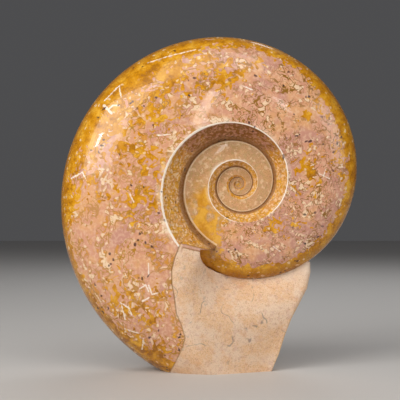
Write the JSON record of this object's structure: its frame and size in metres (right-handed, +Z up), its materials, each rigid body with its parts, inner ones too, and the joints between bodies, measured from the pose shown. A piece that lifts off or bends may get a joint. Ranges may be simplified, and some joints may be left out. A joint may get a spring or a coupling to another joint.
{
  "type": "ammonite fossil",
  "caption": "Polished ammonite fossil, coiled in one plane, standing upright on a sawn foot of its own matrix rock.",
  "frame": {"origin": "middle of the stone's width and thickness, on the surface that the foot stands on", "axes": "+Z up, +X to the right as the shell is seen from the front, +Y away from the viewer, so the coil lies in the XZ plane"},
  "size_m": [0.245, 0.08, 0.2757],
  "materials": {
    "polished_stone": "polished: pink and amber calcite with frilled sutures on the shell, and pale honed matrix on the foot"
  },
  "bodies": {
    "root": {"ammonite": "polished_stone"}
  },
  "joints": []
}
